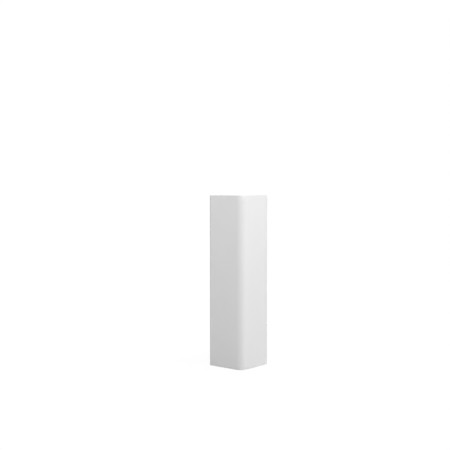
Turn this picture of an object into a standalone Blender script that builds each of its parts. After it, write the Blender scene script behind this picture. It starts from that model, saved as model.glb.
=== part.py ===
"""Outside corner moulding, standing upright.

A plain white moulding of L section that wraps the outside corner of a wall. Its two equal legs meet
at a right angle. The outer upright corner is rounded, and so is the outer edge of each leg's end.
The inside angle and the wall side's edges are square, and so are both cut ends. It stands on its base.

Units are metres, with +Z up. The origin is the middle of the bounding box's base. The outer faces
look towards -X and -Y, and the inside angle, which holds the wall's corner, opens towards +X and +Y.
"""

import math

import bmesh
import bpy

# Driving dimensions
HEIGHT = 0.100
LEG_WIDTH = 0.025  # from an outer face to the end of the other leg
LEG_THICKNESS = 0.0055
CORNER_RADIUS = 0.00425  # outer upright corner
LEG_END_RADIUS = 0.002  # outer upright edge of each leg's end

# Number of flats that a quarter turn of each rounding is made of
CORNER_STEPS = 24
LEG_END_STEPS = 12

# Largest turn between two faces that still shades smooth, in radians
SMOOTH_TURN = math.radians(30)

# Finish of the satin white polymer
POLYMER_COLOUR = (0.83, 0.83, 0.83)
POLYMER_ROUGHNESS = 0.45
POLYMER_METALLIC = 0.0

# Planes of the section, the same in X and in Y
OUTER_FACE = -LEG_WIDTH / 2
WALL_FACE = OUTER_FACE + LEG_THICKNESS
LEG_END = LEG_WIDTH / 2


def clear_scene():
    """Remove every object, so that the model stands alone."""
    for obj in list(bpy.data.objects):
        bpy.data.objects.remove(obj, do_unlink=True)


def polymer_material():
    """Satin white polymer, coloured right through."""
    material = bpy.data.materials.new("white_polymer")
    material.use_nodes = True
    shader = material.node_tree.nodes["Principled BSDF"]
    shader.inputs["Base Color"].default_value = (*POLYMER_COLOUR, 1.0)
    shader.inputs["Roughness"].default_value = POLYMER_ROUGHNESS
    shader.inputs["Metallic"].default_value = POLYMER_METALLIC
    return material


def quarter_arc(centre_x, centre_y, radius, start, steps):
    """Points of a quarter circle, anticlockwise from the start angle in quarter turns."""
    points = []
    for step in range(steps + 1):
        angle = math.pi / 2 * (start + step / steps)
        points.append((centre_x + radius * math.cos(angle), centre_y + radius * math.sin(angle)))
    return points


def section_outline():
    """The L section, anticlockwise from the outer edge at the end of the leg along X."""
    corner = OUTER_FACE + CORNER_RADIUS
    inset = LEG_END_RADIUS
    return [
        *quarter_arc(LEG_END - inset, OUTER_FACE + inset, LEG_END_RADIUS, 3, LEG_END_STEPS),
        (LEG_END, WALL_FACE),
        (WALL_FACE, WALL_FACE),
        (WALL_FACE, LEG_END),
        *quarter_arc(OUTER_FACE + inset, LEG_END - inset, LEG_END_RADIUS, 1, LEG_END_STEPS),
        *quarter_arc(corner, corner, CORNER_RADIUS, 2, CORNER_STEPS),
    ]


def extrude_section(bm, outline):
    """Raise the outline from the floor to the full height as a closed body."""
    base = bm.faces.new([bm.verts.new((x, y, 0.0)) for x, y in outline])
    raised = bmesh.ops.extrude_face_region(bm, geom=[base])["geom"]
    top_verts = [item for item in raised if isinstance(item, bmesh.types.BMVert)]
    bmesh.ops.translate(bm, verts=top_verts, vec=(0.0, 0.0, HEIGHT))
    bmesh.ops.recalc_face_normals(bm, faces=bm.faces)


def corner_moulding():
    """The whole moulding, one solid."""
    bm = bmesh.new()
    extrude_section(bm, section_outline())
    mesh = bpy.data.meshes.new("corner_moulding")
    bm.to_mesh(mesh)
    bm.free()
    mesh.shade_smooth()
    mesh.set_sharp_from_angle(angle=SMOOTH_TURN)
    mesh.materials.append(polymer_material())
    obj = bpy.data.objects.new("corner_moulding", mesh)
    bpy.context.scene.collection.objects.link(obj)
    return obj


clear_scene()
corner_moulding()
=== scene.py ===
"""White outside corner moulding, upright on a pale studio floor.

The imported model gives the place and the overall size. One fine surface of the same form stands for its
solid, in satin white polymer. The camera looks almost level at the rounded outer corner.
"""

import math

import bpy
import numpy as np
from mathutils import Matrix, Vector


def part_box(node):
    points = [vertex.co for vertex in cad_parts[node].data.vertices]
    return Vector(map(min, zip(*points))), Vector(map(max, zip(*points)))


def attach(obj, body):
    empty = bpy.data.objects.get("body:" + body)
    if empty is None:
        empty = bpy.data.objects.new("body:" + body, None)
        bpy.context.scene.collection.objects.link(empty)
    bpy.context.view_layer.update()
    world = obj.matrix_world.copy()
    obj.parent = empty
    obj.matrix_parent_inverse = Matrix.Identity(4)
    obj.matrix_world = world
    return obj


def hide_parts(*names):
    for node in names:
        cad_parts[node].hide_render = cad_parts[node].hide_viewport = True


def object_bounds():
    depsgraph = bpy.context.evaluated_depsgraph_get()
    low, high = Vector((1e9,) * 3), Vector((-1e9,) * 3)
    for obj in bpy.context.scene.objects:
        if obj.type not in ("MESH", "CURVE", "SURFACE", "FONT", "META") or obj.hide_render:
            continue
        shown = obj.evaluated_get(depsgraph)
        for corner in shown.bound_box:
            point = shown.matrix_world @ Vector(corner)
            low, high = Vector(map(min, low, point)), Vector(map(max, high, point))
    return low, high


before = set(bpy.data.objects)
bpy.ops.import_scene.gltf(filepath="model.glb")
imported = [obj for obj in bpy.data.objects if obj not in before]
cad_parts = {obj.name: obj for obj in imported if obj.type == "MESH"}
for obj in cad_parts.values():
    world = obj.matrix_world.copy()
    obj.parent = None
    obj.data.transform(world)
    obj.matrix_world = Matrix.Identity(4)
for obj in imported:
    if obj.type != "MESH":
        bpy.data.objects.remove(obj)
cad_low, cad_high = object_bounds()

# Section of the moulding, in metres, as its solid has it
LEG_THICKNESS = 0.0055
CORNER_RADIUS = 0.00425
LEG_END_RADIUS = 0.002

# Small radius of the wall side's upright edges, and of the edges round the top and the base, in metres
WALL_EDGE_RADIUS = 0.0003
RIM_RADIUS = 0.0001

# Number of steps in a quarter turn of each rounding, and along the height
CORNER_STEPS = 48
LEG_END_STEPS = 24
EDGE_STEPS = 4
HEIGHT_STEPS = 50

# Smallest turn between faces that shows as a sharp line, in degrees
SHARP_TURN = 40

# Finish of the polymer: two whites hardly a shade apart, its index of refraction and the range of its
# roughness. Each pattern has the size of its features in millimetres and its number of finer layers, and
# the grain has its depth in millimetres too.
POLYMER_WHITE = "#EBEBEB"
POLYMER_SHADE = "#E8E8E8"
POLYMER_IOR = 1.53
SATIN = (0.42, 0.50)
CLOUD_MM = 14.0
CLOUD_LAYERS = 3.0
SATIN_PATCH_MM = 5.0
SATIN_PATCH_LAYERS = 2.0
GRAIN_MM = 0.3
GRAIN_LAYERS = 2.0
GRAIN_DEPTH_MM = 0.002

# Camera, in metres and degrees, worked out from the moulding's own edges
CAMERA_PLACE = (-0.39833, -0.32169, 0.10795)
CAMERA_TILT = 87.158  # 90 is level
CAMERA_TURN = -50.183  # 0 looks along +Y
LENS_MM = 69.875  # on a sensor 36 mm wide

# Softboxes aim at this point, and one of brightness 1 has this power at one metre
MIDDLE = (cad_low + cad_high) / 2
SOFTBOX_WATTS = 10.0

# Softboxes of three sizes: distance from that point and side of the square, in metres
SMALL_SOFTBOX = {"distance": 0.45, "side": 0.25}
MEDIUM_SOFTBOX = {"distance": 1.2, "side": 0.5}
LARGE_SOFTBOX = {"distance": 1.2, "side": 0.8}

# Light that comes evenly from the room, and the white that the eye sees behind the moulding
ROOM_LIGHT = 0.21
ROOM_WHITE = 1.01

# Floor: half of its side and the hair's breadth that keeps it clear of the base, in metres, and the grey
# that lights the moulding. The eye sees white over that grey. The white's brightness and its share of what
# the eye sees go from their first value to their last over this range of distances in metres.
FLOOR_HALF = 20.0
FLOOR_DROP = 0.00002
FLOOR_GREY = "#AAAAAA"
FLOOR_WHITE = (1.15, 1.01)
FLOOR_WHITE_SHARE = (0.8, 1.0)
FLOOR_FADE = (0.03, 0.15)


def linear(hex_colour):
    """An sRGB hex colour as linear red, green, blue and alpha."""
    srgb = np.array([int(hex_colour[i:i + 2], 16) / 255 for i in (1, 3, 5)])
    low_part = srgb / 12.92
    high_part = ((srgb + 0.055) / 1.055) ** 2.4
    return (*np.where(srgb <= 0.04045, low_part, high_part).tolist(), 1.0)


def per_metre(millimetres):
    """Scale of a noise whose features are this far apart."""
    return 1000 / millimetres


def add_node(tree, kind, inputs=None, links=None, **properties):
    """One node, with its properties, and its inputs' values and links by the inputs' identifiers."""
    node = tree.nodes.new(kind)
    for name, value in properties.items():
        setattr(node, name, value)
    sockets = {socket.identifier: socket for socket in node.inputs}
    for name, value in (inputs or {}).items():
        sockets[name].default_value = value
    for name, source in (links or {}).items():
        tree.links.new(sockets[name], source)
    return node


def arc(centre_x, centre_y, radius, start, end, steps):
    """Points and outward normals of an arc: the centre plus the radius times the direction at each angle."""
    angle = np.radians(np.linspace(start, end, steps + 1))
    normal = np.stack([np.cos(angle), np.sin(angle)], axis=1)
    return np.array([centre_x, centre_y]) + radius * normal, normal


def section(outer, end):
    """The L section's outline, anticlockwise, and how far each point moves out as the outline grows by one.

    The legs are alike, so outer is the plane of both outer faces, and end that of both legs' ends. Each
    rounded edge is an arc, whose points move along their normals. The inside angle is one sharp point,
    which moves along both of its faces' normals at once.
    """
    wall = outer + LEG_THICKNESS
    # Lines that the centres of the arcs lie on
    corner = outer + CORNER_RADIUS
    near = outer + LEG_END_RADIUS
    far = end - LEG_END_RADIUS
    tip = end - WALL_EDGE_RADIUS
    back = wall - WALL_EDGE_RADIUS
    runs = [
        arc(far, near, LEG_END_RADIUS, -90, 0, LEG_END_STEPS),
        arc(tip, back, WALL_EDGE_RADIUS, 0, 90, EDGE_STEPS),
        (np.array([[wall, wall]]), np.array([[1.0, 1.0]])),
        arc(back, tip, WALL_EDGE_RADIUS, 0, 90, EDGE_STEPS),
        arc(near, far, LEG_END_RADIUS, 90, 180, LEG_END_STEPS),
        arc(corner, corner, CORNER_RADIUS, 180, 270, CORNER_STEPS),
    ]
    outline = np.concatenate([run[0] for run in runs])
    outward = np.concatenate([run[1] for run in runs])
    return outline, outward


def ring_heights(low, high):
    """Height and inset of each ring: out along a quarter circle at the base, straight up, in at the top.

    On a quarter circle, the rise from its straight side is radius * sin(turn), and the inset is
    radius * (1 - cos(turn)).
    """
    turn = np.radians(np.linspace(0, 90, EDGE_STEPS + 1))
    rise = RIM_RADIUS * np.sin(turn)
    inset = RIM_RADIUS * (1 - np.cos(turn))
    straight = np.linspace(low + RIM_RADIUS, high - RIM_RADIUS, HEIGHT_STEPS + 1)[1:-1]
    heights = np.concatenate([low + RIM_RADIUS - rise[::-1], straight, high - RIM_RADIUS + rise])
    insets = np.concatenate([inset[::-1], np.zeros(len(straight)), inset])
    return heights, insets


def moulding_mesh(low, high):
    """The L section carried up the rings: each point is outline - inset * outward, at its ring's height."""
    outline, outward = section(low.x, high.x)
    heights, insets = ring_heights(low.z, high.z)
    rings = len(heights)
    around = len(outline)
    flat = outline[None, :, :] - insets[:, None, None] * outward[None, :, :]
    height = np.broadcast_to(heights[:, None, None], (rings, around, 1))
    points = np.concatenate([flat, height], axis=2).reshape(-1, 3)
    # Each side face joins a point, the next one round its ring, and the two above them
    index = np.arange(rings * around).reshape(rings, around)
    ahead = np.roll(index, -1, axis=1)
    sides = np.stack([index[:-1], ahead[:-1], ahead[1:], index[1:]], axis=2).reshape(-1, 4)
    base_and_top = [index[0, ::-1].tolist(), index[-1].tolist()]
    mesh = bpy.data.meshes.new("corner_moulding_surface")
    mesh.from_pydata(points, [], sides.tolist() + base_and_top)
    mesh.shade_smooth()
    mesh.set_sharp_from_angle(angle=math.radians(SHARP_TURN))
    return mesh


def satin_polymer():
    """White rigid polymer, coloured right through and moulded against a finely grained steel tool.

    The eye sees an even satin white, whose shade and sheen vary hardly at all from patch to patch. The
    real grain is about 0.1 mm, which never shows, so it is drawn three times as coarse.
    """
    material = bpy.data.materials.new("satin_moulded_white_polymer")
    material.use_nodes = True
    tree = material.node_tree
    shader = tree.nodes["Principled BSDF"]
    shader.inputs["IOR"].default_value = POLYMER_IOR
    place = add_node(tree, "ShaderNodeTexCoord").outputs["Object"]

    clouds = {"Scale": per_metre(CLOUD_MM), "Detail": CLOUD_LAYERS}
    cloud = add_node(tree, "ShaderNodeTexNoise", clouds, {"Vector": place}).outputs["Fac"]
    whites = {"A_Color": linear(POLYMER_SHADE), "B_Color": linear(POLYMER_WHITE)}
    blend = add_node(tree, "ShaderNodeMix", whites, {"Factor_Float": cloud}, data_type="RGBA")
    colour = next(output for output in blend.outputs if output.identifier == "Result_Color")
    tree.links.new(shader.inputs["Base Color"], colour)

    patches = {"Scale": per_metre(SATIN_PATCH_MM), "Detail": SATIN_PATCH_LAYERS}
    patch = add_node(tree, "ShaderNodeTexNoise", patches, {"Vector": place}).outputs["Fac"]
    satin = {"To Min": SATIN[0], "To Max": SATIN[1]}
    sheen = add_node(tree, "ShaderNodeMapRange", satin, {"Value": patch})
    tree.links.new(shader.inputs["Roughness"], sheen.outputs["Result"])

    grains = {"Scale": per_metre(GRAIN_MM), "Detail": GRAIN_LAYERS}
    grain = add_node(tree, "ShaderNodeTexNoise", grains, {"Vector": place}).outputs["Fac"]
    depth = {"Distance": GRAIN_DEPTH_MM / 1000}
    relief = add_node(tree, "ShaderNodeBump", depth, {"Height": grain})
    tree.links.new(shader.inputs["Normal"], relief.outputs["Normal"])
    return material


def make_moulding():
    """The fine surface in place of the solid."""
    low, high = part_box("corner_moulding")
    mesh = moulding_mesh(low, high)
    mesh.materials.append(satin_polymer())
    piece = bpy.data.objects.new("corner_moulding_surface", mesh)
    bpy.context.scene.collection.objects.link(piece)
    flats = piece.modifiers.new("flat_faces_shade_flat", "WEIGHTED_NORMAL")
    flats.keep_sharp = True
    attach(piece, "root")
    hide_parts("corner_moulding")


def make_camera():
    """The camera, almost level. It sees the moulding below the picture's middle and a little right of it."""
    lens = bpy.data.cameras.new("camera")
    lens.lens = LENS_MM
    camera = bpy.data.objects.new("camera", lens)
    camera.location = CAMERA_PLACE
    camera.rotation_euler = (math.radians(CAMERA_TILT), 0.0, math.radians(CAMERA_TURN))
    bpy.context.scene.collection.objects.link(camera)
    bpy.context.scene.camera = camera


def soft_light(name, azimuth, elevation, brightness, distance, side):
    """A square softbox that faces the moulding's middle. Azimuth 0 stands towards -Y, and 90 towards +X."""
    turn = math.radians(azimuth)
    rise = math.radians(elevation)
    out = Vector((math.sin(turn) * math.cos(rise), -math.cos(turn) * math.cos(rise), math.sin(rise)))
    lamp = bpy.data.lights.new(name, "AREA")
    lamp.shape = "SQUARE"
    lamp.size = side
    lamp.energy = SOFTBOX_WATTS * brightness * distance ** 2
    softbox = bpy.data.objects.new(name, lamp)
    softbox.location = MIDDLE + distance * out
    softbox.rotation_euler = out.to_track_quat("Z", "Y").to_euler()
    softbox.visible_camera = False
    bpy.context.scene.collection.objects.link(softbox)


def make_lights():
    """Soft light from the front, both sides and behind, the strongest from the front and the front right."""
    soft_light("front_softbox", azimuth=-45, elevation=40, brightness=0.545, **SMALL_SOFTBOX)
    soft_light("front_right_softbox", azimuth=15, elevation=40, brightness=0.42, **LARGE_SOFTBOX)
    soft_light("right_softbox", azimuth=45, elevation=15, brightness=0.16, **SMALL_SOFTBOX)
    soft_light("back_right_softbox", azimuth=110, elevation=40, brightness=0.36, **MEDIUM_SOFTBOX)
    soft_light("left_softbox", azimuth=-135, elevation=15, brightness=0.23, **SMALL_SOFTBOX)


def make_room():
    """Even white light from all round, and plain white where the eye sees past the floor."""
    world = bpy.data.worlds.new("room")
    world.use_nodes = True
    tree = world.node_tree
    seen = add_node(tree, "ShaderNodeLightPath").outputs["Is Camera Ray"]
    levels = {"To Min": ROOM_LIGHT, "To Max": ROOM_WHITE}
    strength = add_node(tree, "ShaderNodeMapRange", levels, {"Value": seen})
    background = tree.nodes["Background"]
    background.inputs["Color"].default_value = linear("#FFFFFF")
    tree.links.new(background.inputs["Strength"], strength.outputs["Result"])
    bpy.context.scene.world = world


def matt_floor_paint():
    """Matt paint that lights the moulding as mid grey does, and shows white with a faint shadow.

    The shadow shows close to the moulding. Further out, the eye sees plain white.
    """
    material = bpy.data.materials.new("matt_floor_paint")
    material.use_nodes = True
    tree = material.node_tree
    tree.nodes.clear()
    paint = add_node(tree, "ShaderNodeBsdfDiffuse", {"Color": linear(FLOOR_GREY)})
    place = add_node(tree, "ShaderNodeTexCoord").outputs["Object"]
    away = add_node(tree, "ShaderNodeVectorMath", links={"Vector": place}, operation="LENGTH")
    distance = {"Value": away.outputs["Value"]}
    fade = {"From Min": FLOOR_FADE[0], "From Max": FLOOR_FADE[1]}
    levels = {**fade, "To Min": FLOOR_WHITE[0], "To Max": FLOOR_WHITE[1]}
    level = add_node(tree, "ShaderNodeMapRange", levels, distance).outputs["Result"]
    white = add_node(tree, "ShaderNodeEmission", links={"Strength": level})
    shares = {**fade, "To Min": FLOOR_WHITE_SHARE[0], "To Max": FLOOR_WHITE_SHARE[1]}
    share = add_node(tree, "ShaderNodeMapRange", shares, distance).outputs["Result"]
    seen = add_node(tree, "ShaderNodeLightPath").outputs["Is Camera Ray"]
    both = {"Value": share, "Value_001": seen}
    seen_share = add_node(tree, "ShaderNodeMath", links=both, operation="MULTIPLY").outputs["Value"]
    layers = {"Fac": seen_share, "Shader": paint.outputs["BSDF"], "Shader_001": white.outputs["Emission"]}
    mix = add_node(tree, "ShaderNodeMixShader", links=layers)
    add_node(tree, "ShaderNodeOutputMaterial", links={"Surface": mix.outputs["Shader"]})
    return material


def make_floor():
    """A large plain floor, just clear of the moulding's base."""
    half = FLOOR_HALF
    ground = cad_low.z - FLOOR_DROP
    corners = [(-half, -half, ground), (half, -half, ground), (half, half, ground), (-half, half, ground)]
    mesh = bpy.data.meshes.new("floor")
    mesh.from_pydata(corners, [], [(0, 1, 2, 3)])
    mesh.materials.append(matt_floor_paint())
    floor = bpy.data.objects.new("floor", mesh)
    bpy.context.scene.collection.objects.link(floor)


make_moulding()
make_camera()
make_lights()
make_room()
make_floor()
bpy.context.scene.view_settings.view_transform = "Standard"
